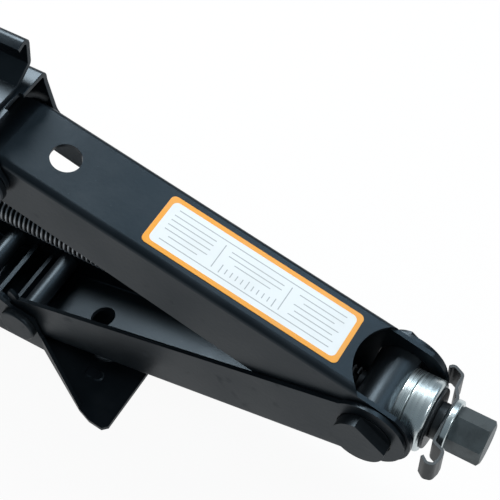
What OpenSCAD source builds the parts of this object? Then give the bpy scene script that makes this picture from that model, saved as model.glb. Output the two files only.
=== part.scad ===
// Scissor jack: a sheet-steel base, two lower and two upper channel arms, a saddle with a
// tray for the sill seam, and a lead screw with a thrust bearing and a hex head.
// X runs along the screw with the hex at +X, the front is -Y, and Z is up from the ground.

/* [Linkage] */
// Distance between the two pivots of one arm
arm_l = 226.7; // [218:0.1:236]
// Slope of the arms as the jack stands
rest_angle = 16.1; // [12:0.1:24]
// Half the distance between the two pivots on the base, and on the saddle
pin_half_gap = 19.1; // [18.6:0.1:20]
// Height of the base pivots above the ground
base_pin_z = 19.7; // [18.8:0.1:22]

/* [Arm sheet] */
// Thickness of the arms' sheet steel
arm_sheet = 2.5; // [2:0.1:3]
// Outer radius of the folds between web and flanges
fold_r = 4; // [3.4:0.1:5]
// Outer half width of a lower arm
lower_half_w = 25.1; // [24.6:0.1:26.5]
// Gap between flanges that nest in each other
nest_gap = 0.3; // [0.2:0.05:0.5]

/* [Lower arms] */
// Web's outer face below the pivot line, at the base end
lower_web_in = 14.4; // [13.8:0.1:15.2]
// Web's outer face below the pivot line, at the screw end
lower_web_out = 24.5; // [23.5:0.1:26]
// Flange edge above the pivot line, at the base end
lower_lip_in = 16.9; // [15:0.1:18]
// Flange edge above the pivot line, at the screw end
lower_lip_out = 19.6; // [18:0.1:20.5]
// Radius of the round ears at the screw end
lower_ear_r = 22; // [21:0.1:23]
// Diameter of the hole in the web
lower_hole_d = 15; // [10:0.5:18]
// Distance of that hole from the base pivot
lower_hole_at = 36; // [30:0.5:60]

/* [Upper arms] */
// Web's outer face above the pivot line, at the saddle end
upper_web_in = 18.3; // [17.5:0.1:19]
// Web's outer face above the pivot line, at the screw end
upper_web_out = 26.3; // [25.5:0.1:27]
// Flange edge below the pivot line, at the saddle end
upper_lip_in = 15.8; // [15:0.1:17]
// Flange edge below the pivot line, at the screw end
upper_lip_out = 18.7; // [17.5:0.1:20]
// Radius of the round ears at the screw end
upper_ear_r = 24.1; // [23:0.1:25]
// Diameter of the hole in the web
upper_hole_d = 16.7; // [12:0.1:20]
// Distance of that hole from the saddle pivot
upper_hole_at = 27.4; // [25:0.1:60]

/* [Screw ends of the arms] */
// Radius of the round notch that clears the screw end of each web
notch_r = 26; // [24.5:0.1:27]
// Distance before the pivot at which the web's fold turns down to the ear
ear_lead = 14; // [10:0.5:16]

/* [Gear ends] */
// Teeth that a full circle would have
gear_teeth = 9; // [9]
// Height of a tooth above the pitch circle
tooth_addendum = 3.8; // [3.2:0.1:3.9]
// Gap between meshing tooth flanks, along the pitch circle
tooth_backlash = 0.9; // [0.7:0.1:1.4]

/* [Pivot pins] */
// Radius of the riveted pins
pin_r = 6; // [5:0.1:6.5]
// Radius of the pin heads
pin_head_r = 11.5; // [10:0.1:12.5]
// Thickness of the pin heads
pin_head_t = 4; // [3:0.1:5]
// Radius of the peened rear ends of the saddle pins
peened_r = 7.5; // [7:0.1:9]
// Thickness of those rear ends
peened_t = 1.2; // [1:0.1:2]
// Gap between a pin and the holes of the arms that turn on it
pivot_gap = 0.3; // [0.2:0.05:0.4]
// Gap between a trunnion and the arms' ears
ear_gap = 0.6; // [0.4:0.1:0.8]

/* [Base] */
// Thickness of the base's sheet
base_sheet = 2.5; // [2:0.1:3]
// Gap between the walls and the lower arms
base_gap = 0.7; // [0.5:0.1:1.2]
// Height of the walls at their middle
wall_h = 34; // [31:0.5:38]
// Half length of the straight walls
wall_half_l = 33; // [31:0.5:38]
// Half length of the foot
foot_half_l = 95; // [85:0.5:110]
// Half width of the foot at its ends
foot_half_w = 55.6; // [48:0.1:60]
// Height of the foot's turned-up rim beside the walls
rim_h = 12; // [8:0.5:16]

/* [Saddle] */
// Thickness of the saddle's sheet
saddle_sheet = 2.8; // [2:0.1:3.2]
// Half length of the saddle bracket
bracket_half_l = 24.5; // [23:0.1:32]
// Height of the bracket's top above the saddle pivots
bracket_rise = 37.8; // [36:0.1:42]
// Half length of the tray on the bracket
tray_half_l = 20.5; // [16:0.1:24]
// Half width of the tray's flat bottom
tray_flat_half_w = 7; // [4:0.1:10]
// Half width of the tray at the foot of its walls
tray_half_w = 19; // [17:0.1:20]
// Rise of the tray's sloping floor
tray_slope_h = 7; // [4:0.1:9]
// Height of the tray's walls
tray_wall_h = 16; // [12:0.1:20]

/* [Trunnions] */
// Radius of the round bars that carry the screw and the nut
trunnion_r = 14.5; // [13.5:0.1:15]
// Distance of their outer flat from their axis
trunnion_flat = 8.5; // [7.8:0.1:9.5]
// Distance of the slanting flat at their ends from their axis
trunnion_end_flat = 9.5; // [9:0.1:12]
// Angle of that flat's face above the screw
trunnion_end_angle = 51; // [30:1:60]
// Length by which their ends stand out of the lower arms
trunnion_proud = 6.5; // [3:0.1:9]

/* [Lead screw] */
// Outside diameter of the thread
thread_d = 14.3; // [12:0.1:15]
// Pitch of the thread
thread_pitch = 3; // [2.5:0.5:4]
// Depth of the thread
thread_depth = 1.6; // [1.2:0.1:1.8]
// Radius of the plain shank in the bearing
shank_r = 6.5; // [5:0.1:6.8]
// Width of the hex head across its flats
hex_af = 21; // [19:0.1:23]
// Length of the hex head
hex_l = 18.5; // [15:0.1:25]
// Lowest slope of the arms, with the jack closed
closed_angle = 5.5; // [5:0.1:7]

/* [Thrust bearing] */
// Outside diameter of the bearing's lower race
race_d = 38.8; // [36:0.1:38.8]
// Thickness of the lower race
race_t = 5.1; // [4:0.1:6]
// Outside diameter of the bearing's cup
cup_d = 38.8; // [36:0.1:38.8]
// Depth of the cup
cup_l = 12.2; // [11:0.1:13]
// Diameter of the balls
ball_d = 6; // [5:0.1:6.2]
// Number of balls
ball_count = 10; // [6:1:10]

/* [Washers and clip] */
// Diameter of the black washer behind the cup
back_washer_d = 33; // [30:0.1:37]
// Thickness of the black washer
back_washer_t = 1.7; // [1.5:0.1:3]
// Diameter of the spacer between the washers
spacer_d = 20; // [17:0.1:24]
// Length of the spacer
spacer_l = 4.6; // [4:0.1:8]
// Thickness of the clip's spring strip
clip_t = 1.6; // [1.2:0.1:2]
// Width of the clip's spring strip
clip_w = 16; // [10:0.1:18]
// Distance from the screw's axis to the top of each clip hook
clip_reach = 29.1; // [28:0.1:32]
// Diameter of the bright washer under the hex
front_washer_d = 28.6; // [26:0.1:30]
// Thickness of the bright washer
front_washer_t = 3.6; // [3:0.1:4]

/* [Label] */
// Length of the sticker on the arm
label_l = 114; // [80:0.5:120]
// Width of the sticker
label_w = 32; // [20:0.5:34]
// Distance of the sticker's near end from the saddle pivot
label_at = 82.8; // [60:0.1:85]
// Corner radius of the sticker
label_r = 3; // [2:0.1:5]
// Thickness of the sticker
label_t = 0.3; // [0.2:0.05:0.5]

/* [Hidden] */
$fn = 64;

// One overrun for every cut
over = 1;

// Places that follow from the linkage
screw_z = base_pin_z + arm_l * sin(rest_angle);
saddle_pin_z = base_pin_z + 2 * arm_l * sin(rest_angle);
drive_x = pin_half_gap + arm_l * cos(rest_angle);

// Arm sections
upper_half_w = lower_half_w - arm_sheet - nest_gap;
pin_hole_r = pin_r + pivot_gap;
ear_hole_r = trunnion_r + ear_gap;
arm_depth = upper_web_out + lower_lip_out + upper_ear_r;
// Depth by which a straight edge runs into the round ear it meets
tangent_inset = 0.4;
// Depth and angle by which a curled web's end lies inside the flat sheet that it joins
curl_inset = 0.05;
curl_overlap = 1.5;

// Gear ends: involute flanks on a base circle inside the pitch circle
pressure_angle = 25;
pitch_r = pin_half_gap;
base_circle_r = pitch_r * cos(pressure_angle);
tooth_tip_r = pitch_r + tooth_addendum;
root_relief = 0.4;
tooth_root_r = upper_web_in - fold_r - 2 * root_relief;
tooth_step = 360 / gear_teeth;
tooth_half_angle = (tooth_step / 2 - tooth_backlash / pitch_r * 180 / PI) / 2;
flank_steps = 5;
// Arm slope at which a tooth of a right arm points straight at its neighbour
mesh_angle = 10;

// Saddle and base
bracket_half_w = upper_half_w + nest_gap + saddle_sheet;
bracket_top_z = saddle_pin_z + bracket_rise;
bracket_ear_r = 11.5;
bracket_ear_lift = 3;
bracket_foot_out = 3;
bracket_foot_rise = 12;
bracket_step_half_w = 6;
bracket_step_l = 2.5;
tray_lip = 8;
tray_lip_drop = 3;
tray_wall_lean = 2;
tray_bend_r = 2.6;
base_inner_half_w = lower_half_w + base_gap;
base_half_w = base_inner_half_w + base_sheet;
wall_shoulder_half_l = 7;
wall_mid_half_l = 15;
wall_mid_drop = 4;
wall_end_half_l = 29;
wall_end_drop = 6.5;
rim_end_h = 4;
flare_bend_x = 74;
flare_bend_y = 51.5;
foot_corner_l = 6;
dimple_x = 69;
dimple_y = 28;
dimple_l = 12;
dimple_w = 7;
dimple_h = 0.8;
head_edge = 0.8;
head_seat_gap = 0.1;

// Stack along the screw, outwards from the trunnion's flat
race_x = drive_x + trunnion_flat;
cup_x = race_x + race_t;
back_washer_x = cup_x + cup_l;
spacer_x = back_washer_x + back_washer_t;
clip_x = spacer_x + spacer_l;
front_washer_x = clip_x + clip_t;
hex_x = front_washer_x + front_washer_t;
seam = 0.3;
groove = 1;
bore_gap = 0.05;
running_gap = 0.3;
thread_r = thread_d / 2;
thread_root_r = thread_r - thread_depth;
ball_r = ball_d / 2;
ball_ring_r = 13;
ball_gap = 0.1;
ball_x = cup_x - groove + ball_gap + ball_r;
cup_wall = 2.2;
cage_t = 2.4;
cage_half_band = 3.9;
cage_gap = 0.25;
cup_edge = 2;
rim_steps = 4;
race_edge = 0.6;
washer_edge = 0.5;
hex_socket_l = 12;
hex_chamfer = 1.6;
hex_corner_r = hex_af / 2 / cos(30);
hex_cone_l = 2.2;
hex_round = 0.9;

// Thread and stop at the far end of the screw
closed_drive_x = pin_half_gap + arm_l * cos(closed_angle);
stop_gap = 3;
stop_washer_d = 24;
stop_washer_t = 3;
stop_pin_r = 1.9;
stop_pin_half_l = 11;
stop_margin = 5;
nut_travel = closed_drive_x - drive_x;
stop_x = -drive_x - 2 * nut_travel - trunnion_flat - stop_gap;
screw_end_x = stop_x - stop_washer_t - 2 * stop_pin_r - stop_margin;
thread_gap = 1;
thread_start_x = drive_x - trunnion_r - thread_gap;
thread_count = floor((thread_start_x - stop_x) / thread_pitch);
thread_run_out = 1.2;

// Facets of a bend in a folded strip
bend_steps = 4;

// Bends of the clip, seen from above: distances from the middle of its plate. The rear end is
// hooked back, the front end steps round the bright washer and is hooked back beyond it.
clip_bend_r = 2.2;
clip_arm_half_l = 12;
clip_neck_in = 3.2;
clip_neck_y = 17;
clip_neck_l = clip_reach - clip_t / 2 - clip_neck_y - 3.1;
clip_top_in = 9.6;
clip_tip_in = 11.2;
clip_tip_drop = 2.1;
clip_step_y = front_washer_d / 2 + 1.6;
clip_step_out = 6.7;
clip_step_l = 2.7;
clip_front_y = 23;
clip_corner_out = 5.6;
clip_corner_y = 27.2;
clip_bottom_out = 2;
clip_bottom_y = 28.2;
clip_end_in = 1.4;
clip_end_y = 25.6;

// Runs a drawing in the plane of Y and Z along X.
module along_x(length) {
    rotate([90, 0, 90]) linear_extrude(length) children();
}

// Runs a drawing in the plane of X and Z across Y, between two places.
module across_y(from, to) {
    translate([0, to, 0]) rotate([90, 0, 0]) linear_extrude(to - from) children();
}

// A round bar along X.
module bar_x(r, from, to) {
    translate([from, 0, 0]) rotate([0, 90, 0]) cylinder(r = r, h = to - from);
}

// A round bar along Y.
module bar_y(r, from, to) {
    translate([0, from, 0]) rotate([-90, 0, 0]) cylinder(r = r, h = to - from);
}

// A solid turned about X from a drawing of distance along X and radius.
module turned_x() {
    rotate([90, 0, 90]) rotate_extrude() children();
}

function unit(v) = v / norm(v);
function turned(v) = [-v.y, v.x];
function wrapped(a) = a > 180 ? a - 360 : a < -180 ? a + 360 : a;

// Points of a round bend of radius r in place of the corner b between a and c.
function bend(a, b, c, r) = let(
    u = unit(a - b),
    w = unit(c - b),
    half = acos(u * w) / 2,
    centre = b + unit(u + w) * r / sin(half),
    first = b + u * r / tan(half) - centre,
    last = b + w * r / tan(half) - centre,
    start = atan2(first.y, first.x),
    sweep = wrapped(atan2(last.y, last.x) - start)
) [for (i = [0 : bend_steps]) centre
    + r * [cos(start + sweep * i / bend_steps), sin(start + sweep * i / bend_steps)]];

// A strip of even thickness that follows points, with round bends of a middle radius r.
module bent_strip(points, t, r) {
    last = len(points) - 1;
    line = concat([points[0]],
        [for (i = [1 : last - 1]) each bend(points[i - 1], points[i], points[i + 1], r)],
        [points[last]]);
    end = len(line) - 1;
    side = [for (i = [0 : end]) let(
        before = turned(unit(line[max(i, 1)] - line[max(i, 1) - 1])),
        after = turned(unit(line[min(i, end - 1) + 1] - line[min(i, end - 1)]))
    ) (before + after) / (1 + before * after) * t / 2];
    polygon(concat([for (i = [0 : end]) line[i] + side[i]],
        [for (i = [end : -1 : 0]) line[i] - side[i]]));
}

// Inverted or upright U section: web at the bottom, flanges upwards, rounded folds.
module channel_half(half_w, r, h) {
    translate([-half_w + r, 0]) square([2 * (half_w - r), h]);
    translate([-half_w, r]) square([2 * half_w, h - r]);
    for (side = [-1, 1]) translate([side * (half_w - r), r]) circle(r, $fn = 32);
}

module channel_section(half_w, t, r, h) {
    difference() {
        channel_half(half_w, r, h);
        translate([0, t]) channel_half(half_w - t, r - t, h);
    }
}

function involute_angle(a) = tan(a) * 180 / PI - a;
function flank_angle(r) = tooth_half_angle + involute_angle(pressure_angle)
    - involute_angle(acos(min(1, base_circle_r / r)));
function flank_radius(i) = base_circle_r + (tooth_tip_r - base_circle_r) * i / flank_steps;

// One tooth that points along +X of the drawing.
module tooth() {
    flank = [for (i = [0 : flank_steps]) [flank_radius(i), flank_angle(flank_radius(i))]];
    back = [for (i = [flank_steps : -1 : 0]) [flank[i][0], -flank[i][1]]];
    polygon(concat([[0, 0]], [for (p = concat(flank, back)) p[0] * [cos(p[1]), sin(p[1])]]));
}

// Outline of a flange in the plane of X and Z: the inner pivot at the origin, the web at -Z.
// Its long lower side runs out past the web, which the channel ends, and its inner end is
// square to the web.
module flange_outline(web_in, web_out, lip_in, lip_out, ear_r, tilt) {
    web_at_lead = web_out - (web_out - web_in) * ear_lead / arm_l;
    lead_r = norm([ear_lead, web_at_lead]);
    lead_angle = atan2(-web_at_lead, -ear_lead);
    tangent_angle = lead_angle + acos(ear_r / lead_r);
    tangent_r = ear_r - tangent_inset;
    polygon([
        [lip_in * tan(tilt), lip_in],
        [-(web_out + over) * tan(tilt), -web_out - over],
        [arm_l - ear_lead, -web_out - over],
        [arm_l - ear_lead, -web_at_lead],
        [arm_l + tangent_r * cos(tangent_angle), tangent_r * sin(tangent_angle)],
        [arm_l, 0],
        [arm_l, lip_out]
    ]);
    translate([arm_l, 0]) circle(ear_r, $fn = 96);
}

// Toothed end of a flange, for arms that mesh with their neighbour. An arm whose web curls up
// round the pivot needs only the upper half of the root disc.
module gear_outline(first_tooth, count, root_r, curled, tilt) {
    if (curled) rotate(-tilt) intersection() {
        circle(root_r, $fn = 96);
        translate([-2 * root_r, 0]) square([4 * root_r, 2 * root_r]);
    }
    else circle(root_r, $fn = 96);
    for (i = [0 : count - 1])
        rotate(180 - first_tooth - i * tooth_step) tooth();
}

// A channel arm with its web below, from the inner pivot at the origin along +X.
module arm(half_w, web_in, web_out, lip_in, lip_out, ear_r, hole_at, hole_d,
           first_tooth, tooth_total, curled) {
    tilt = atan((web_out - web_in) / arm_l);
    web_r = web_in * cos(tilt);
    difference() {
        union() {
            arm_cut(half_w, web_r, tilt)
                flange_outline(web_in, web_out, lip_in, lip_out, ear_r, tilt);
            arm_cut(half_w, web_r, tilt)
                gear_outline(first_tooth, tooth_total,
                             curled ? web_r - root_relief : tooth_root_r, curled, tilt);
            if (curled) rotate([0, tilt, 0])
                arm_curl(half_w - curl_inset, web_r - curl_inset);
            else rotate([0, tilt, 0])
                arm_tongue(half_w - arm_sheet - nest_gap, web_r - curl_inset);
        }
        translate([arm_l, 0, -arm_depth]) {
            cylinder(r = notch_r, h = arm_depth - web_out + arm_sheet + over, $fn = 96);
            intersection() {
                cylinder(r = notch_r, h = arm_depth - web_out + 2 * fold_r, $fn = 96);
                translate([-notch_r, -half_w + arm_sheet + curl_inset, 0])
                    cube([2 * notch_r, 2 * (half_w - arm_sheet - curl_inset), arm_depth]);
            }
        }
        translate([hole_at, 0, -arm_depth]) cylinder(r = hole_d / 2, h = arm_depth);
        bar_y(pin_hole_r, -half_w - over, half_w + over);
        translate([arm_l, 0, 0]) bar_y(ear_hole_r, -half_w - over, half_w + over);
    }
}

// What an outline seen from the front leaves of a long tilted channel.
module arm_cut(half_w, web_r, tilt) {
    intersection() {
        rotate([0, tilt, 0]) translate([-2 * tooth_tip_r, 0, -web_r])
            along_x(arm_l + 4 * tooth_tip_r)
                channel_section(half_w, arm_sheet, fold_r, arm_depth);
        across_y(-half_w - over, half_w + over) children();
    }
}

// The web's end, turned up round the pivot in a quarter circle. It starts and ends a little
// inside the flat sheet.
module arm_curl(half_w, web_r) {
    rotate([90, 0, 0]) rotate(-90 + curl_overlap) mirror([0, 1])
        rotate_extrude(angle = 90 + 2 * curl_overlap, $fn = 96)
            translate([web_r, 0]) rotate(90)
                channel_section(half_w, arm_sheet, fold_r, web_r - pin_r / 2);
}

// The narrower curl of an upper arm, which passes between the neighbour's toothed flanges.
module arm_tongue(half_w, web_r) {
    rotate([90, 0, 0]) rotate(-90 + curl_overlap) mirror([0, 1])
        rotate_extrude(angle = 90 + curl_overlap, $fn = 96)
            translate([web_r - arm_sheet, -half_w]) square([arm_sheet, 2 * half_w]);
}

module base_plate() {
    color([0.1, 0.11, 0.12]) difference() {
        union() {
            linear_extrude(base_sheet) foot_outline();
            for (side = [-1, 1]) mirror([0, side > 0 ? 1 : 0, 0]) {
                intersection() {
                    across_y(-base_half_w, -base_inner_half_w) wall_outline();
                    translate([-foot_half_l, -base_half_w, 0])
                        cube([2 * foot_half_l, base_sheet, wall_h]);
                }
                for (end = [0, 1]) mirror([end, 0, 0]) foot_rim();
            }
            for (end = [-1, 1], side = [-1, 1])
                translate([end * dimple_x, side * dimple_y, base_sheet]) dimple();
        }
        for (side = [-1, 1]) translate([side * pin_half_gap, 0, base_pin_z])
            bar_y(pin_r + bore_gap, -base_half_w - over, base_half_w + over);
    }
}

// Plan of the flat foot: a narrow waist between the walls and two flared ends.
module foot_outline() {
    half = [
        [wall_half_l, base_half_w],
        [flare_bend_x, flare_bend_y],
        [foot_half_l - 2 * foot_corner_l, foot_half_w - head_edge],
        [foot_half_l - foot_corner_l / 2, foot_half_w],
        [foot_half_l, foot_half_w - foot_corner_l / 2]
    ];
    for (end = [0, 1]) mirror([end, 0]) for (side = [0, 1]) mirror([0, side])
        polygon(concat([[0, 0], [0, base_half_w]], half, [[foot_half_l, 0]]));
}

// Side view of one wall, high at the middle and falling to the foot's rim.
module wall_outline() {
    top = [
        [wall_shoulder_half_l, wall_h],
        [wall_mid_half_l, wall_h - wall_mid_drop],
        [wall_end_half_l, wall_h - wall_end_drop],
        [wall_half_l - base_sheet / 2, rim_h + base_sheet],
        [wall_half_l, rim_h]
    ];
    for (end = [0, 1]) mirror([end, 0])
        polygon(concat([[0, 0], [0, wall_h]], top, [[wall_half_l, 0]]));
}

// The low rim that follows the flared edge of the foot and falls towards its corner.
module foot_rim() {
    intersection() {
        linear_extrude(rim_h) polygon([
            [wall_half_l, -base_half_w],
            [flare_bend_x, -flare_bend_y],
            [flare_bend_x, base_sheet - flare_bend_y],
            [wall_half_l, -base_inner_half_w]
        ]);
        across_y(-foot_half_w, 0) polygon([
            [wall_half_l, 0],
            [wall_half_l, rim_h],
            [flare_bend_x, rim_end_h],
            [flare_bend_x, 0]
        ]);
    }
}

// A pressed oval bump in the foot.
module dimple() {
    for (end = [-1, 1]) translate([end * (dimple_l - dimple_w) / 2, 0, 0])
        cylinder(r1 = dimple_w / 2, r2 = dimple_w / 2 - dimple_h, h = dimple_h, $fn = 32);
    translate([(dimple_w - dimple_l) / 2, dimple_h - dimple_w / 2, 0])
        cube([dimple_l - dimple_w, dimple_w - 2 * dimple_h, dimple_h]);
}

// A pivot pin along Y with a head in front and a head or a peened end at the back.
module pivot_pin(seat_half_w, back_r, back_t) {
    color([0.12, 0.13, 0.14]) {
        bar_y(pin_r, -seat_half_w - head_seat_gap, seat_half_w + head_seat_gap);
        rotate([90, 0, 0]) translate([0, 0, seat_half_w + head_seat_gap])
            pin_head(pin_head_r, pin_head_t);
        rotate([-90, 0, 0]) translate([0, 0, seat_half_w + head_seat_gap])
            pin_head(back_r, back_t);
    }
}

module pin_head(r, t) {
    cylinder(r = r, h = t - head_edge);
    translate([0, 0, t - head_edge]) cylinder(r1 = r, r2 = r - head_edge, h = head_edge);
}

module base_pin_right() {
    translate([pin_half_gap, 0, base_pin_z]) pivot_pin(base_half_w, pin_head_r, pin_head_t);
}

module base_pin_left() {
    translate([-pin_half_gap, 0, base_pin_z]) pivot_pin(base_half_w, pin_head_r, pin_head_t);
}

module lower_arm(first_tooth, tooth_total) {
    color([0.09, 0.1, 0.11])
        translate([pin_half_gap, 0, base_pin_z]) rotate([0, -rest_angle, 0])
            arm(lower_half_w, lower_web_in, lower_web_out, lower_lip_in, lower_lip_out,
                lower_ear_r, lower_hole_at, lower_hole_d, first_tooth, tooth_total, true);
}

module upper_arm(first_tooth, tooth_total) {
    color([0.09, 0.1, 0.11])
        translate([pin_half_gap, 0, saddle_pin_z]) rotate([0, rest_angle, 0]) mirror([0, 0, 1])
            arm(upper_half_w, upper_web_in, upper_web_out, upper_lip_in, upper_lip_out,
                upper_ear_r, upper_hole_at, upper_hole_d, first_tooth, tooth_total, false);
}

module lower_arm_right() {
    lower_arm(mesh_angle, 3);
}

module lower_arm_left() {
    mirror([1, 0, 0]) lower_arm(mesh_angle + tooth_step / 2, 2);
}

module upper_arm_right() {
    upper_arm(mesh_angle, 3);
}

module upper_arm_left() {
    mirror([1, 0, 0]) upper_arm(mesh_angle + tooth_step / 2, 2);
}

// The sticker lies on the outer face of the right upper arm's web.
module label_sticker() {
    tilt = atan((upper_web_out - upper_web_in) / arm_l);
    color([0.95, 0.96, 0.94])
        translate([pin_half_gap, 0, saddle_pin_z]) rotate([0, rest_angle - tilt, 0])
            translate([label_at, -label_w / 2, upper_web_in * cos(tilt)])
                linear_extrude(label_t) rounded_plate(label_l, label_w, label_r);
}

module rounded_plate(l, w, r) {
    translate([r, 0]) square([l - 2 * r, w]);
    translate([0, r]) square([l, w - 2 * r]);
    for (x = [r, l - r], y = [r, w - r]) translate([x, y]) circle(r, $fn = 32);
}

// An inverted channel over the upper arms, with round ears down to the saddle pins.
module saddle_bracket() {
    color([0.1, 0.11, 0.12]) difference() {
        union() {
            intersection() {
                translate([-foot_half_l, 0, bracket_top_z]) mirror([0, 0, 1])
                    along_x(2 * foot_half_l)
                        channel_section(bracket_half_w, saddle_sheet, fold_r, 2 * bracket_rise);
                across_y(-bracket_half_w - over, bracket_half_w + over) bracket_outline();
            }
            for (end = [-1, 1], side = [-1, 1])
                translate([end * pin_half_gap, 0, saddle_pin_z + bracket_ear_lift])
                    across_y(side * (bracket_half_w - saddle_sheet / 2) - saddle_sheet / 2,
                             side * (bracket_half_w - saddle_sheet / 2) + saddle_sheet / 2)
                        circle(bracket_ear_r);
        }
        for (side = [-1, 1]) {
            translate([side * pin_half_gap, 0, saddle_pin_z])
                bar_y(pin_r + bore_gap, -bracket_half_w - over, bracket_half_w + over);
            translate([side * bracket_half_l, 0, bracket_top_z])
                cube([2 * bracket_step_l, 2 * bracket_step_half_w, 2 * (saddle_sheet + over)],
                     center = true);
        }
    }
}

// Side view of the bracket: straight ends that widen to ears at the saddle pins.
module bracket_outline() {
    foot = [bracket_half_l + bracket_foot_out - pin_half_gap, bracket_foot_rise - bracket_ear_lift];
    tangent_angle = atan2(foot.y, foot.x) - acos(bracket_ear_r / norm(foot));
    for (end = [0, 1]) mirror([end, 0])
        polygon([
            [0, saddle_pin_z],
            [0, bracket_top_z + over],
            [bracket_half_l, bracket_top_z + over],
            [bracket_half_l, bracket_top_z - saddle_sheet - fold_r],
            [bracket_half_l + bracket_foot_out, saddle_pin_z + bracket_foot_rise],
            [pin_half_gap, saddle_pin_z + bracket_ear_lift]
                + (bracket_ear_r - tangent_inset) * [cos(tangent_angle), sin(tangent_angle)],
            [pin_half_gap, saddle_pin_z + bracket_ear_lift]
        ]);
}

// The tray that takes the car's sill seam: a shallow V between two walls with folded lips.
module saddle_tray() {
    t = saddle_sheet;
    half = [
        [tray_flat_half_w, t / 2],
        [tray_half_w, t / 2 + tray_slope_h],
        [tray_half_w + tray_wall_lean, t / 2 + tray_slope_h + tray_wall_h],
        [tray_half_w + tray_wall_lean - tray_lip, t / 2 + tray_slope_h + tray_wall_h - tray_lip_drop]
    ];
    points = concat([for (i = [3 : -1 : 0]) [-half[i].x, half[i].y]], half);
    color([0.1, 0.11, 0.12]) translate([-tray_half_l, 0, bracket_top_z])
        along_x(2 * tray_half_l) bent_strip(points, t, tray_bend_r);
}

module saddle_pin_right() {
    translate([pin_half_gap, 0, saddle_pin_z]) pivot_pin(bracket_half_w, peened_r, peened_t);
}

module saddle_pin_left() {
    translate([-pin_half_gap, 0, saddle_pin_z]) pivot_pin(bracket_half_w, peened_r, peened_t);
}

// A round cross bar with a bore along X and a flat between the arms' flanges. Its ends, outside
// the arms, have a second flat that slants upwards.
module trunnion(bore_r) {
    half_l = lower_half_w + trunnion_proud;
    seat_half_w = upper_half_w - arm_sheet;
    end_l = trunnion_proud - pivot_gap;
    difference() {
        bar_y(trunnion_r, -half_l, half_l);
        translate([trunnion_flat, -seat_half_w, -trunnion_r - over])
            cube([trunnion_r, 2 * seat_half_w, 2 * (trunnion_r + over)]);
        for (side = [-1, 1]) rotate([0, -trunnion_end_angle, 0])
            translate([trunnion_end_flat,
                       side > 0 ? half_l - end_l : -half_l - over, -trunnion_r - over])
                cube([trunnion_r, end_l + over, 2 * (trunnion_r + over)]);
        bar_x(bore_r, -trunnion_r - over, trunnion_flat + over);
    }
}

module drive_trunnion() {
    color([0.13, 0.14, 0.15]) translate([drive_x, 0, screw_z])
        trunnion(shank_r + running_gap);
}

module nut_trunnion() {
    color([0.13, 0.14, 0.15]) translate([-drive_x, 0, screw_z]) mirror([1, 0, 0])
        trunnion(thread_r + running_gap);
}

// The screw: a thread of closed ridges, a plain shank through the bearing, and a plain tail.
module lead_screw() {
    ridges = [
        for (i = [0 : thread_count - 1]) each [
            [thread_root_r, -i * thread_pitch],
            [thread_r, -(i + 0.5) * thread_pitch]
        ]
    ];
    thread_end = -thread_count * thread_pitch;
    shank_end = hex_x + hex_socket_l - bore_gap - thread_start_x;
    tail_end = screw_end_x - thread_start_x;
    color([0.12, 0.12, 0.13]) translate([thread_start_x, 0, screw_z]) difference() {
        turned_x() polygon(concat(
            [[0, shank_end], [shank_r - head_edge, shank_end], [shank_r, shank_end - head_edge],
             [shank_r, thread_run_out]],
            ridges,
            [[thread_root_r, thread_end], [thread_root_r, tail_end + head_edge],
             [thread_root_r - head_edge, tail_end], [0, tail_end]]
        ));
        translate([stop_x - stop_washer_t - stop_pin_r - thread_start_x, 0, 0])
            bar_y(stop_pin_r + bore_gap, -thread_r, thread_r);
    }
}

// The hex that takes the crank, with its outer corners turned off.
module hex_head() {
    color([0.2, 0.21, 0.22]) translate([hex_x, 0, screw_z]) difference() {
        intersection() {
            rotate([0, 90, 0]) cylinder(r = hex_corner_r, h = hex_l, $fn = 6);
            turned_x() polygon([
                [0, 0], [hex_corner_r - hex_round, 0], [hex_corner_r + over, hex_round + over],
                [hex_corner_r + over, hex_l - hex_cone_l + over / 2],
                [hex_corner_r - hex_chamfer, hex_l], [0, hex_l]
            ]);
        }
        bar_x(shank_r + bore_gap, -over, hex_socket_l);
    }
}

module stop_washer() {
    color([0.12, 0.12, 0.13]) translate([stop_x - stop_washer_t, 0, screw_z]) difference() {
        bar_x(stop_washer_d / 2, 0, stop_washer_t);
        bar_x(thread_root_r + bore_gap, -over, stop_washer_t + over);
    }
}

// A cross pin that keeps the stop washer on the screw.
module stop_pin() {
    color([0.5, 0.5, 0.5]) translate([stop_x - stop_washer_t - stop_pin_r, 0, screw_z])
        bar_y(stop_pin_r, -stop_pin_half_l, stop_pin_half_l);
}

// The fixed race against the trunnion, with a groove for the balls.
module bearing_race() {
    color([0.8, 0.82, 0.84]) translate([race_x, 0, screw_z]) difference() {
        turned_x() polygon([
            [shank_r + running_gap, 0], [race_d / 2 - race_edge, 0], [race_d / 2, race_edge],
            [race_d / 2, race_t - race_edge / 2], [race_d / 2 - race_edge / 2, race_t],
            [shank_r + running_gap, race_t]
        ]);
        translate([ball_x - race_x, 0, 0]) turned_x()
            translate([ball_ring_r, 0]) circle(ball_r + ball_gap, $fn = 48);
    }
}

// The shell that turns with the screw and covers the balls.
module bearing_cup() {
    depth = ball_r + ball_x - cup_x + ball_gap - groove;
    color([0.8, 0.82, 0.84]) translate([cup_x, 0, screw_z]) difference() {
        turned_x() polygon([
            [shank_r + bore_gap, depth], [cup_d / 2 - cup_wall, depth],
            [cup_d / 2 - cup_wall, seam], [cup_d / 2 - race_edge / 2, seam],
            [cup_d / 2, seam + race_edge / 2],
            for (i = [0 : rim_steps]) [cup_d / 2, cup_l] + cup_edge
                * [cos(90 * i / rim_steps) - 1, sin(90 * i / rim_steps) - 1],
            [shank_r + bore_gap, cup_l]
        ]);
        translate([ball_x - cup_x, 0, 0]) turned_x()
            translate([ball_ring_r, 0]) circle(ball_r + ball_gap, $fn = 48);
    }
}

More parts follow.
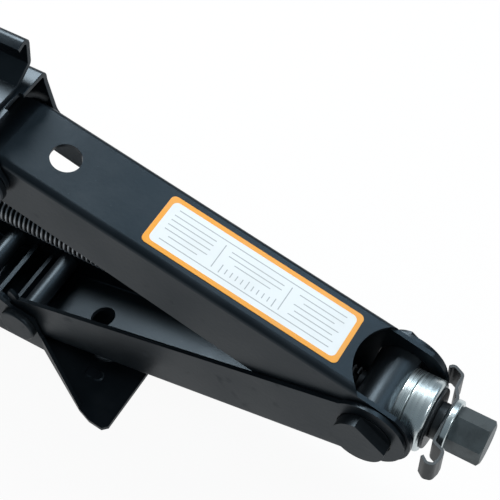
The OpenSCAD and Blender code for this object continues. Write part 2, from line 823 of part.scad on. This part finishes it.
module ball_places() {
    for (i = [0 : ball_count - 1]) rotate([i * 360 / ball_count, 0, 0])
        translate([0, 0, ball_ring_r]) children();
}

module bearing_balls() {
    color([0.85, 0.86, 0.88]) translate([ball_x, 0, screw_z])
        ball_places() sphere(r = ball_r, $fn = 32);
}

// A flat ring with a pocket round each ball.
module bearing_cage() {
    color([0.75, 0.72, 0.6]) translate([ball_x, 0, screw_z]) difference() {
        bar_x(ball_ring_r + cage_half_band, -cage_t / 2, cage_t / 2);
        bar_x(ball_ring_r - cage_half_band, -cage_t, cage_t);
        ball_places() bar_x(ball_r + cage_gap, -cage_t, cage_t);
    }
}

// A flat washer on the shank with eased rims.
module washer_on_shank(x, d, t) {
    translate([x, 0, screw_z]) turned_x() polygon([
        [shank_r + bore_gap, 0], [d / 2 - washer_edge, 0], [d / 2, washer_edge],
        [d / 2, t - washer_edge], [d / 2 - washer_edge, t], [shank_r + bore_gap, t]
    ]);
}

module back_washer() {
    color([0.1, 0.1, 0.11]) washer_on_shank(back_washer_x, back_washer_d, back_washer_t);
}

module screw_spacer() {
    color([0.1, 0.1, 0.11]) washer_on_shank(spacer_x, spacer_d, spacer_l);
}

module front_washer() {
    color([0.78, 0.8, 0.82]) washer_on_shank(front_washer_x, front_washer_d, front_washer_t);
}

// A spring strip held between the spacer and the bright washer, with a hook at each end.
module hook_clip() {
    top = clip_reach - clip_t / 2;
    points = [
        [-clip_end_in, -clip_end_y],
        [clip_bottom_out, -clip_bottom_y],
        [clip_corner_out, -clip_corner_y],
        [clip_step_out, -clip_front_y],
        [clip_step_out, -clip_step_y - clip_step_l],
        [0, -clip_step_y],
        [0, clip_arm_half_l],
        [-clip_neck_in, clip_neck_y],
        [-clip_neck_in, clip_neck_y + clip_neck_l],
        [-clip_top_in, top],
        [-clip_tip_in, top - clip_tip_drop]
    ];
    color([0.11, 0.12, 0.12]) translate([clip_x + clip_t / 2, 0, screw_z]) difference() {
        translate([0, 0, -clip_w / 2]) linear_extrude(clip_w) bent_strip(points, clip_t, clip_bend_r);
        bar_x(shank_r + bore_gap, -clip_t, clip_t);
    }
}

base_plate();
base_pin_right();
base_pin_left();
lower_arm_right();
lower_arm_left();
upper_arm_right();
upper_arm_left();
label_sticker();
saddle_bracket();
saddle_tray();
saddle_pin_right();
saddle_pin_left();
drive_trunnion();
nut_trunnion();
lead_screw();
hex_head();
stop_washer();
stop_pin();
bearing_race();
bearing_cage();
bearing_balls();
bearing_cup();
back_washer();
screw_spacer();
hook_clip();
front_washer();
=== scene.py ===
"""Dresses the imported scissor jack: painted sheet steel, a helical screw, a sticker, the bearing,
the light and the camera."""

import math

import bpy
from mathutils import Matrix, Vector


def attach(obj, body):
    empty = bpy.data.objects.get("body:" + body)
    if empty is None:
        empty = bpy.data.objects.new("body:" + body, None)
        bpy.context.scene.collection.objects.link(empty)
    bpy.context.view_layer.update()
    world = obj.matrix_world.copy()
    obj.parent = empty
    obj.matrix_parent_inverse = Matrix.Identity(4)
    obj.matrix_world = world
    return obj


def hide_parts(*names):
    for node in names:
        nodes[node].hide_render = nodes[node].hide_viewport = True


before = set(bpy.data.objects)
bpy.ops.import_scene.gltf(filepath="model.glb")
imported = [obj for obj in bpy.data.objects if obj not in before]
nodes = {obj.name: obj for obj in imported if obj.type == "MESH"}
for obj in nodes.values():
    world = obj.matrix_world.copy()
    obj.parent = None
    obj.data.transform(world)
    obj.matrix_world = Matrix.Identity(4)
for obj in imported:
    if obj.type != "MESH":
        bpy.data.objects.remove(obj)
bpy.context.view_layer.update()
bpy.ops.object.select_all(action="DESELECT")

# Base: a foot pressed from one steel sheet and folded up into two walls that carry the pivot
# pins. It is dipped in black enamel, which rounds the cut edges a little.


def new_group(name, given, put_out):
    """An empty shader group with named inputs and outputs, its nodes and its link call."""
    group = bpy.data.node_groups.new(name, "ShaderNodeTree")
    for side, sockets in (("INPUT", given), ("OUTPUT", put_out)):
        for socket, kind in sockets:
            group.interface.new_socket(name=socket, in_out=side, socket_type="NodeSocket" + kind)
    n = group.nodes
    return group, n, group.links.new, n.new("NodeGroupInput"), n.new("NodeGroupOutput")


def noise(n, link, place, scale, detail=2):
    """A noise texture on a place, as its value."""
    texture = n.new("ShaderNodeTexNoise")
    texture.inputs["Scale"].default_value = scale
    texture.inputs["Detail"].default_value = detail
    link(place, texture.inputs["Vector"])
    return texture.outputs["Fac"]


def spread(n, link, value, source, target):
    """A value carried from one range into another and held there."""
    carried = n.new("ShaderNodeMapRange")
    for socket, number in zip(("From Min", "From Max", "To Min", "To Max"), source + target):
        carried.inputs[socket].default_value = number
    link(value, carried.inputs["Value"])
    return carried.outputs["Result"]


def sums(n, link, operation, *values):
    """A math node on outputs and plain numbers."""
    node = n.new("ShaderNodeMath")
    node.operation = operation
    for i, value in enumerate(values):
        if isinstance(value, (int, float)):
            node.inputs[i].default_value = value
        else:
            link(value, node.inputs[i])
    return node.outputs["Value"]


def blended(n, link, part, first, second):
    """Two colours, the second shown by a mask."""
    mix = n.new("ShaderNodeMix")
    mix.data_type = "RGBA"
    link(part, mix.inputs["Factor"])
    for color, socket in ((first, mix.inputs[6]), (second, mix.inputs[7])):
        if isinstance(color, tuple):
            socket.default_value = (*color, 1)
        else:
            link(color, socket)
    return mix.outputs[2]


def relief(n, link, height, strength, distance):
    """A normal bent by a height."""
    bump = n.new("ShaderNodeBump")
    bump.inputs["Distance"].default_value = distance
    if isinstance(strength, float):
        bump.inputs["Strength"].default_value = strength
    else:
        link(strength, bump.inputs["Strength"])
    link(height, bump.inputs["Height"])
    return bump.outputs["Normal"]


def enamel_group():
    """Skin of a dipped enamel: orange peel, uneven gloss, thin dull clouds and dust specks."""
    dull = (0.42, 0.47, 0.52)
    group, n, link, given, out = new_group(
        "enamel skin", (("Color", "Color"), ("Roughness", "Float"), ("Peel", "Float")),
        (("Color", "Color"), ("Roughness", "Float"), ("Normal", "Vector")))
    place = n.new("ShaderNodeTexCoord").outputs["Object"]
    peel = noise(n, link, place, scale=420)
    link(relief(n, link, peel, given.outputs["Peel"], distance=0.0004), out.inputs["Normal"])
    cloud = noise(n, link, place, scale=30, detail=5)
    uneven = spread(n, link, cloud, (0.3, 0.7), (-0.06, 0.08))
    scuff = spread(n, link, noise(n, link, place, scale=95, detail=8), (0.62, 0.75), (0, 0.14))
    rough = sums(n, link, "ADD", given.outputs["Roughness"], uneven)
    link(sums(n, link, "ADD", rough, scuff), out.inputs["Roughness"])
    speck = n.new("ShaderNodeTexVoronoi")
    speck.inputs["Scale"].default_value = 170
    link(place, speck.inputs["Vector"])
    dust = spread(n, link, speck.outputs["Distance"], (0.06, 0.03), (0, 0.05))
    thin = spread(n, link, cloud, (0.45, 0.8), (0, 0.018))
    pale = blended(n, link, sums(n, link, "ADD", dust, thin), given.outputs["Color"], dull)
    link(pale, out.inputs["Color"])
    return group


enamel_skin = enamel_group()


def principled(name):
    """A new material, its nodes, its link call and its Principled node."""
    mat = bpy.data.materials.new(name)
    mat.use_nodes = True
    tree = mat.node_tree
    return mat, tree.nodes, tree.links.new, tree.nodes["Principled BSDF"]


def skinned(name, group, given):
    """A new material whose Principled node is fed by a skin group, and that node."""
    mat, n, link, surface = principled(name)
    skin = n.new("ShaderNodeGroup")
    skin.node_tree = group
    for socket, value in given.items():
        skin.inputs[socket].default_value = (*value, 1) if isinstance(value, tuple) else value
    for made, socket in (("Color", "Base Color"), ("Roughness", "Roughness"), ("Normal", "Normal")):
        link(skin.outputs[made], surface.inputs[socket])
    return mat, surface


def enamel(name, color, roughness, peel):
    """A black enamel with its own tint, gloss and orange peel."""
    mat, paint = skinned(name, enamel_skin, {"Color": color, "Roughness": roughness, "Peel": peel})
    paint.inputs["Specular IOR Level"].default_value = 0.4
    paint.inputs["Specular Tint"].default_value = (0.66, 0.85, 1, 1)
    return mat


def alone(piece):
    """Makes a piece the only selected and the active one."""
    bpy.ops.object.select_all(action="DESELECT")
    piece.select_set(True)
    bpy.context.view_layer.objects.active = piece


def eased(piece, width, sharp, smooth, corners="MITER_SHARP"):
    """Rounds edges sharper than one angle and shades smooth below another, flat faces whole."""
    ease = piece.modifiers.new("eased edges", "BEVEL")
    ease.width = width
    ease.segments = 2
    ease.limit_method = "ANGLE"
    ease.angle_limit = math.radians(sharp)
    ease.miter_outer = corners
    bpy.ops.object.modifier_apply(modifier=ease.name)
    bpy.ops.object.shade_smooth_by_angle(angle=math.radians(smooth))
    flat = piece.modifiers.new("flat faces", "WEIGHTED_NORMAL")
    flat.keep_sharp = True
    bpy.ops.object.modifier_apply(modifier=flat.name)


def dressed(name, body, coat, edge=0.0004):
    """A copy of a solid with its flat faces whole and its edges eased, in place of the solid."""
    piece = bpy.data.objects.new(name + "_finished", nodes[name].data.copy())
    bpy.context.collection.objects.link(piece)
    alone(piece)
    bpy.ops.object.mode_set(mode="EDIT")
    bpy.ops.mesh.select_all(action="SELECT")
    bpy.ops.mesh.remove_doubles(threshold=0.000005)
    bpy.ops.mesh.dissolve_limited(angle_limit=math.radians(0.5))
    bpy.ops.object.mode_set(mode="OBJECT")
    eased(piece, edge, sharp=32, smooth=30, corners="MITER_ARC")
    piece.data.materials.clear()
    piece.data.materials.append(coat)
    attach(piece, body)
    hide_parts(name)
    return piece


sheet_enamel = enamel("black sheet enamel", color=(0.005, 0.007, 0.0092), roughness=0.35, peel=0.12)
dressed("base_plate", "base", sheet_enamel)

# Base pins: turned steel pins with upset heads, one through the walls and the inner end of each
# lower arm. They are painted with the jack, a little duller than the sheet.
pin_enamel = enamel("black pin enamel", color=(0.008, 0.0095, 0.011), roughness=0.38, peel=0.16)
for name in ("base_pin_right", "base_pin_left"):
    dressed(name, "base", pin_enamel, edge=0.0006)

# Lower arms: channels folded from sheet, with gear teeth pressed on their inner ends and the
# inner web rolled up round the pivot.
for name in ("lower_arm_right", "lower_arm_left"):
    dressed(name, name, sheet_enamel)

# Trunnions: round cross bars in the arms' outer ends. The right one seats the screw's bearing,
# the left one is the nut.
for name in ("drive_trunnion", "nut_trunnion"):
    dressed(name, name, pin_enamel, edge=0.0006)

# Upper arms: narrower channels that nest in the lower ones at the trunnions and mesh by their
# own gear teeth at the saddle.
for name in ("upper_arm_right", "upper_arm_left"):
    dressed(name, name, sheet_enamel)

# Sticker: printed vinyl on the right upper arm's web. White, with an amber border and plain
# grey rules and ticks; its coordinates run along and across the web from the saddle pivot.


def rule_group():
    """Mask of one upright rectangle, given by its middle and half sides."""
    names = ("X", "Y", "Middle X", "Half X", "Middle Y", "Half Y")
    group, n, link, given, out = new_group(
        "rule mask", [(name, "Float") for name in names], (("Mask", "Float"),))
    across = sums(n, link, "COMPARE", *[given.outputs[i] for i in ("X", "Middle X", "Half X")])
    along = sums(n, link, "COMPARE", *[given.outputs[i] for i in ("Y", "Middle Y", "Half Y")])
    link(sums(n, link, "MULTIPLY", across, along), out.inputs["Mask"])
    return group


def sticker_rules(start, stop):
    """The printed rules and ticks: middle and half side along, middle and half side across."""
    line = 0.00028
    row, middle_row, edge_row = 0.0031, 0.0029, 0.0098
    divider_half = 0.0075
    tick_step, tick_y = 0.0031, -0.0055
    centre = (start + stop) / 2
    rules = [(centre, 0.0495, y, line) for y in (-edge_row, edge_row)]
    for column, step, halves in (
        (start + 0.0165, row, ((2, 0.0125), (1, 0.0125), (0, 0.0125), (-1, 0.0125), (-2, 0.0085))),
        (centre - 0.0005, middle_row, ((2, 0.0155), (1, 0.0155), (0, 0.0105))),
        (stop - 0.0175, row, ((2, 0.013), (1, 0.009), (0, 0.013), (-1, 0.011), (-2, 0.013))),
    ):
        rules += [(column, half, i * step, line) for i, half in halves]
    rules += [(x, line, 0, divider_half) for x in (start + 0.034, stop - 0.0355)]
    rules += [(centre - 0.0158 + tick_step * i, line, tick_y, 0.0016 if i % 5 else 0.0026)
              for i in range(11)]
    return rules


def sticker_vinyl():
    """The printed sticker: white field, amber border with round corners, grey rules."""
    middle, half_l, half_w = 0.1398, 0.057, 0.016
    border, corner = 0.0027, 0.003
    saddle_pivot, web_fall = (0.0191, 0, 0.145434), math.radians(14.08)
    white_ink, grey_ink, amber_ink = (0.78, 0.8, 0.8), (0.16, 0.17, 0.18), (0.87, 0.35, 0.02)
    grime = (0.55, 0.55, 0.52)
    mat, n, link, vinyl = principled("printed vinyl")
    turn = n.new("ShaderNodeMapping")
    turn.vector_type = "TEXTURE"
    turn.inputs["Location"].default_value = saddle_pivot
    turn.inputs["Rotation"].default_value = (0, web_fall, 0)
    link(n.new("ShaderNodeTexCoord").outputs["Object"], turn.inputs["Vector"])
    place = turn.outputs["Vector"]
    split = n.new("ShaderNodeSeparateXYZ")
    link(place, split.inputs["Vector"])
    far = []
    for axis, centre, half in (("X", middle, half_l), ("Y", 0, half_w)):
        off = sums(n, link, "ABSOLUTE", sums(n, link, "SUBTRACT", split.outputs[axis], centre))
        past = sums(n, link, "SUBTRACT", off, half - border - corner)
        held = sums(n, link, "MAXIMUM", past, 0.0)
        far.append(sums(n, link, "MULTIPLY", held, held))
    reach = sums(n, link, "SQRT", sums(n, link, "ADD", *far))
    amber = sums(n, link, "GREATER_THAN", reach, corner)
    rule = rule_group()
    marks = None
    for sides in sticker_rules(middle - half_l + border, middle + half_l - border):
        one = n.new("ShaderNodeGroup")
        one.node_tree = rule
        for axis in ("X", "Y"):
            link(split.outputs[axis], one.inputs[axis])
        for socket, number in zip(("Middle X", "Half X", "Middle Y", "Half Y"), sides):
            one.inputs[socket].default_value = number
        mask = one.outputs["Mask"]
        marks = mask if marks is None else sums(n, link, "MAXIMUM", marks, mask)
    field = blended(n, link, sums(n, link, "MULTIPLY", marks, 0.62), white_ink, grey_ink)
    print_color = blended(n, link, amber, field, amber_ink)
    cloud = noise(n, link, place, scale=60, detail=4)
    aged = spread(n, link, cloud, (0.5, 0.8), (0, 0.12))
    link(blended(n, link, aged, print_color, grime), vinyl.inputs["Base Color"])
    link(spread(n, link, cloud, (0.3, 0.7), (0.28, 0.42)), vinyl.inputs["Roughness"])
    grain = noise(n, link, place, scale=700)
    link(relief(n, link, grain, strength=0.08, distance=0.0002), vinyl.inputs["Normal"])
    return mat


dressed("label_sticker", "upper_arm_right", sticker_vinyl(), edge=0.0001)

# Saddle: a bracket folded from one sheet over the upper arms' ends, a slotted tray welded on it
# and two pins, headed in front and peened nearly flush at the back.
for name in ("saddle_bracket", "saddle_tray"):
    dressed(name, "saddle", sheet_enamel)
for name in ("saddle_pin_right", "saddle_pin_left"):
    dressed(name, "saddle", pin_enamel, edge=0.0005)

# Lead screw: rolled steel thread, one closed ridge wound round the core, with a plain shank
# through the bearing and a plain tail for the stop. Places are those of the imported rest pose.
screw_z = 0.0825672
drive_x = 0.2369086


def metal_group():
    """Skin of worked steel: lathe lines along X and round it, and stains."""
    group, n, link, given, out = new_group(
        "worked metal", (("Color", "Color"), ("Stain", "Color"), ("Roughness", "Float"),
                         ("Lines", "Float")),
        (("Color", "Color"), ("Roughness", "Float"), ("Normal", "Vector"), ("Radius", "Float")))
    place = n.new("ShaderNodeTexCoord").outputs["Object"]
    axis = n.new("ShaderNodeMapping")
    axis.vector_type = "TEXTURE"
    axis.inputs["Location"].default_value = (0, 0, screw_z)
    link(place, axis.inputs["Vector"])
    split = n.new("ShaderNodeSeparateXYZ")
    link(axis.outputs["Vector"], split.inputs["Vector"])
    square = [sums(n, link, "MULTIPLY", split.outputs[i], split.outputs[i]) for i in ("Y", "Z")]
    radius = sums(n, link, "SQRT", sums(n, link, "ADD", *square))
    link(radius, out.inputs["Radius"])
    turned = n.new("ShaderNodeCombineXYZ")
    link(split.outputs["X"], turned.inputs["X"])
    link(radius, turned.inputs["Y"])
    lines = noise(n, link, turned.outputs["Vector"], scale=2600, detail=3)
    cloud = noise(n, link, place, scale=75, detail=6)
    mark = sums(n, link, "MULTIPLY", spread(n, link, lines, (0.35, 0.65), (0, 1)),
                spread(n, link, cloud, (0.35, 0.65), (0.3, 1)))
    rough = spread(n, link, mark, (0, 1), (-0.05, 0.09))
    link(sums(n, link, "ADD", given.outputs["Roughness"], rough), out.inputs["Roughness"])
    stained = spread(n, link, cloud, (0.48, 0.72), (0, 0.75))
    link(blended(n, link, stained, given.outputs["Color"], given.outputs["Stain"]),
         out.inputs["Color"])
    link(relief(n, link, lines, given.outputs["Lines"], distance=0.00012), out.inputs["Normal"])
    return group


metal_skin = metal_group()


def metal(name, color, stain, metallic, roughness, lines):
    """A worked metal with its own colour, stains, gloss and lathe lines."""
    mat, steel = skinned(name, metal_skin, {"Color": color, "Stain": stain,
                                            "Roughness": roughness, "Lines": lines})
    steel.inputs["Metallic"].default_value = metallic
    return mat


def thread_steel():
    """Rolled black steel with painted shade darkening the thread's groove, so that its crests show
    lighter.
    """
    groove_shade, full_shade_r, shade_end_r = (0.012, 0.013, 0.014), 0.0064, 0.007
    mat = metal("groove_shaded black steel", color=(0.42, 0.45, 0.48), stain=(0.2, 0.21, 0.22),
                metallic=0.85, roughness=0.34, lines=0.2)
    n, link = mat.node_tree.nodes, mat.node_tree.links.new
    steel = n["Principled BSDF"]
    skin = steel.inputs["Base Color"].links[0].from_node
    # Painted shade: the groove is darkened towards its root and fades out below the crests.
    unshaded = spread(n, link, skin.outputs["Radius"], (full_shade_r, shade_end_r), (0, 1))
    link(blended(n, link, unshaded, groove_shade, skin.outputs["Color"]), steel.inputs["Base Color"])
    return mat


def wound(name, outline, axis_x, turns, pitch, steps):
    """A closed outline of (radius, x) wound round the screw's axis, as a new object."""
    count = len(outline)
    mesh = bpy.data.meshes.new(name)
    mesh.from_pydata([(x, 0, r) for r, x in outline],
                     [(i, (i + 1) % count) for i in range(count)], [])
    piece = bpy.data.objects.new(name, mesh)
    bpy.context.collection.objects.link(piece)
    alone(piece)
    winding = piece.modifiers.new("winding", "SCREW")
    winding.axis = "X"
    winding.angle = math.tau
    winding.iterations = turns
    winding.screw_offset = pitch
    winding.steps = steps
    winding.render_steps = steps
    winding.use_merge_vertices = pitch == 0
    winding.merge_threshold = 0.000001
    bpy.ops.object.modifier_apply(modifier=winding.name)
    piece.location = (axis_x, 0, screw_z)
    bpy.ops.object.transform_apply(location=True, rotation=True, scale=True)
    bpy.ops.object.mode_set(mode="EDIT")
    bpy.ops.mesh.select_all(action="DESELECT")
    if pitch:
        bpy.ops.mesh.select_mode(type="EDGE")
        bpy.ops.mesh.select_non_manifold()
        bpy.ops.mesh.edge_face_add()
    bpy.ops.mesh.select_all(action="SELECT")
    bpy.ops.mesh.normals_make_consistent(inside=False)
    bpy.ops.object.mode_set(mode="OBJECT")
    return piece


pitch = 0.003
thread_r = 0.00715
root_r = 0.00555
shank_r = 0.0065
crest_ease = 0.0003
root_sink = 0.0001
tail_ease = 0.0008
runout_l = 0.001
thread_start = drive_x - 0.0155
thread_end = -0.2616
tail_end = -0.2759
turns = int((thread_start - thread_end) / pitch) - 1
flank = [(root_r - root_sink, 0.00145), (thread_r - crest_ease, 0.00035), (thread_r, 0.00015)]
ridge = [(radius, pitch / 2 - half) for radius, half in flank]
ridge += [(radius, pitch / 2 + half) for radius, half in reversed(flank)]
thread = wound("thread", ridge, thread_start - (turns + 1) * pitch, turns, pitch, steps=24)
thread_l = thread_start - tail_end
screw_l = drive_x + 0.0492 - tail_end
core = wound("core", [
    (0, 0), (root_r - tail_ease, 0), (root_r, tail_ease), (root_r, thread_l - runout_l),
    (shank_r, thread_l), (shank_r, screw_l), (0, screw_l)
], tail_end, turns=1, pitch=0, steps=48)
thread.select_set(True)
core.select_set(True)
bpy.context.view_layer.objects.active = core
bpy.ops.object.join()
core.name = "lead_screw_finished"
alone(core)
bpy.ops.object.shade_smooth_by_angle(angle=math.radians(30))
core.data.materials.append(thread_steel())
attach(core, "screw")
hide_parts("lead_screw")

# Screw ends: the forged hex that takes the crank, and at the far end a washer held by a cross
# pin, which stops the nut.
hex_steel = metal("satin forged steel", color=(0.1, 0.118, 0.124), stain=(0.05, 0.058, 0.061),
                  metallic=0.7, roughness=0.42, lines=0.5)
dressed("hex_head", "screw", hex_steel, edge=0.0005)
dressed("stop_washer", "screw", hex_steel)
zinc = metal("bright zinc", color=(0.72, 0.79, 0.8), stain=(0.5, 0.56, 0.57),
             metallic=1, roughness=0.3, lines=0.3)
dressed("stop_pin", "screw", zinc, edge=0.0003)

# Bearing: a fixed race, a cage with ten balls and a turning cup, bright zinc with the lathe's
# rings. The cup's skirt reaches back over the cage.
fixed_bore = 0.0068
turning_bore = 0.00655
bearing_r = 0.0194
race_x = 0.0085
race_l = 0.0051
cup_x = race_x + race_l
cup_l = 0.0122
cup_face = 0.0042
skirt_r = 0.0172
skirt_x = 0.0003
outer_ease = 0.0006
inner_ease = 0.0003
rim_r = 0.002
groove_depth = 0.001


def lathe(name, body, coat, outline, x):
    """A turned piece on the screw's axis from (radius, x), in place of its solid."""
    piece = wound(name + "_finished", outline, drive_x + x, turns=1, pitch=0, steps=128)
    eased(piece, width=0.00018, sharp=40, smooth=35)
    piece.data.materials.append(coat)
    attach(piece, body)
    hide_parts(name)


def ball_groove(face, depth):
    """The ball track in a face: radius and x, from the outside in."""
    track_r, shoulder, shoulder_depth = 0.013, 0.0012, 0.76 * depth
    edge = 0.00228
    return [(track_r + edge, face), (track_r + shoulder, face + shoulder_depth),
            (track_r, face + depth), (track_r - shoulder, face + shoulder_depth),
            (track_r - edge, face)]


lathe("bearing_race", "drive_trunnion", zinc,
      [(fixed_bore, 0), (bearing_r - outer_ease, 0), (bearing_r, outer_ease),
       (bearing_r, race_l - inner_ease), (bearing_r - inner_ease, race_l)]
      + ball_groove(race_l, -groove_depth) + [(fixed_bore, race_l)], race_x)
rim = [(bearing_r - rim_r + rim_r * math.cos(math.radians(a)),
        cup_l - rim_r + rim_r * math.sin(math.radians(a))) for a in range(0, 91, 15)]
lathe("bearing_cup", "screw", zinc,
      list(reversed(ball_groove(cup_face, groove_depth)))
      + [(skirt_r, cup_face), (skirt_r, skirt_x), (bearing_r - inner_ease, skirt_x),
         (bearing_r, skirt_x + inner_ease)]
      + rim + [(turning_bore, cup_l), (turning_bore, cup_face)], cup_x)
cage_steel = metal("cage steel", color=(0.5, 0.47, 0.38), stain=(0.3, 0.28, 0.22),
                   metallic=1, roughness=0.35, lines=0.3)
ball_chrome = metal("ball chrome", color=(0.85, 0.86, 0.88), stain=(0.8, 0.81, 0.83),
                    metallic=1, roughness=0.08, lines=0.0)
for name, coat in (("bearing_cage", cage_steel), ("bearing_balls", ball_chrome)):
    nodes[name].data.materials.clear()
    nodes[name].data.materials.append(coat)

# Washers and clip: black washer, spacer and the hooked spring strip between cup and hex, black
# oxide, and a bright washer in front. The strip's edges are painted lighter, a painted highlight.
washer_ease = 0.0005
oxide = metal("black oxide", color=(0.03, 0.034, 0.037), stain=(0.02, 0.022, 0.024),
              metallic=0.4, roughness=0.36, lines=0.15)
# Painted highlight: the strip's edges get a lighter colour than its faces.
painted_highlight = metal("sheared edge", color=(0.05, 0.056, 0.06), stain=(0.03, 0.034, 0.037),
                metallic=0.4, roughness=0.5, lines=0.3)
for name, coat, slot, radius, length, x in (
    ("back_washer", oxide, "black_oxide", 0.0165, 0.0017, 0.0258),
    ("screw_spacer", oxide, "black_oxide", 0.01, 0.0046, 0.0275),
    ("front_washer", zinc, "bright_zinc", 0.0143, 0.0036, 0.0337),
):
    lathe(name, "screw", coat,
          [(turning_bore, 0), (radius - washer_ease, 0), (radius, washer_ease),
           (radius, length - washer_ease), (radius - washer_ease, length), (turning_bore, length)],
          x)
clip = dressed("hook_clip", "screw", oxide, edge=0.0002)
clip.data.materials.append(painted_highlight)
# The faces that look up or down are the strip's edges; they take the painted highlight.
for face in clip.data.polygons:
    if abs(face.normal.z) > 0.9:
        face.material_index = 1

# Studio: a white floor, three soft lights above and the photograph's viewpoint. The floor and
# the surroundings look white to the camera and light the jack with less.
glow_to_camera = 0.9
glow_to_mirrors = 0.55
bpy.ops.object.select_all(action="DESELECT")
bpy.ops.mesh.primitive_plane_add(size=8, location=(0, 0, 0))
floor = bpy.context.object
floor.name = "floor"


def shown_by(n, link, part, first, second, target):
    """Feeds a target with two shaders, the second shown by a part."""
    blend = n.new("ShaderNodeMixShader")
    link(part, blend.inputs["Fac"])
    link(first, blend.inputs[1])
    link(second, blend.inputs[2])
    link(blend.outputs["Shader"], target)


white, n, link, board = principled("white floor")
board.inputs["Base Color"].default_value = (0.4, 0.4, 0.4, 1)
board.inputs["Roughness"].default_value = 0.8
glow = n.new("ShaderNodeEmission")
glow.inputs["Color"].default_value = (1, 1, 1, 1)
glow.inputs["Strength"].default_value = 1.05
rays = n.new("ShaderNodeLightPath")
direct = sums(n, link, "MULTIPLY", rays.outputs["Is Camera Ray"], glow_to_camera)
mirrored = sums(n, link, "MULTIPLY", rays.outputs["Is Glossy Ray"], glow_to_mirrors)
shown_by(n, link, sums(n, link, "MAXIMUM", direct, mirrored), board.outputs["BSDF"],
         glow.outputs["Emission"], n["Material Output"].inputs["Surface"])
floor.data.materials.append(white)

world = bpy.data.worlds.new("studio")
bpy.context.scene.world = world
world.use_nodes = True
n, link = world.node_tree.nodes, world.node_tree.links.new
sky = n["Background"]
sky.inputs["Color"].default_value = (0.75, 0.9, 1, 1)
sky.inputs["Strength"].default_value = 0.22
backdrop = n.new("ShaderNodeBackground")
backdrop.inputs["Color"].default_value = (1, 1, 1, 1)
shown_by(n, link, n.new("ShaderNodeLightPath").outputs["Is Camera Ray"],
         sky.outputs["Background"], backdrop.outputs["Background"],
         n["World Output"].inputs["Surface"])

lit_point = Vector((0.1, 0, 0.1))
for name, place, size, power, tint in (
    ("top softbox", (-0.65, 0.75, 1.35), 0.7, 28, (0.97, 0.99, 1)),
    ("rear panel", (0.5, 1.0, 1.4), 0.7, 6.5, (0.7, 0.87, 1)),
    ("right softbox", (1.2, -0.1, 1.3), 0.5, 6, (0.95, 0.98, 1)),
):
    lamp = bpy.data.lights.new(name, "AREA")
    lamp.color = tint
    lamp.size = size
    lamp.energy = power
    holder = bpy.data.objects.new(name, lamp)
    bpy.context.collection.objects.link(holder)
    holder.location = place
    aim = lit_point - Vector(place)
    holder.rotation_euler = aim.to_track_quat("-Z", "Y").to_euler()

lens = bpy.data.cameras.new("camera")
lens.lens = 97.733
lens.sensor_width = 36
lens.clip_start = 0.01
camera = bpy.data.objects.new("camera", lens)
bpy.context.collection.objects.link(camera)
camera.location = (0.3545299, -0.3306535, 0.6779139)
camera.rotation_euler = [math.radians(a) for a in (36.17819, 0.29754, 30.37481)]
bpy.context.scene.camera = camera
bpy.context.scene.view_settings.view_transform = "Standard"
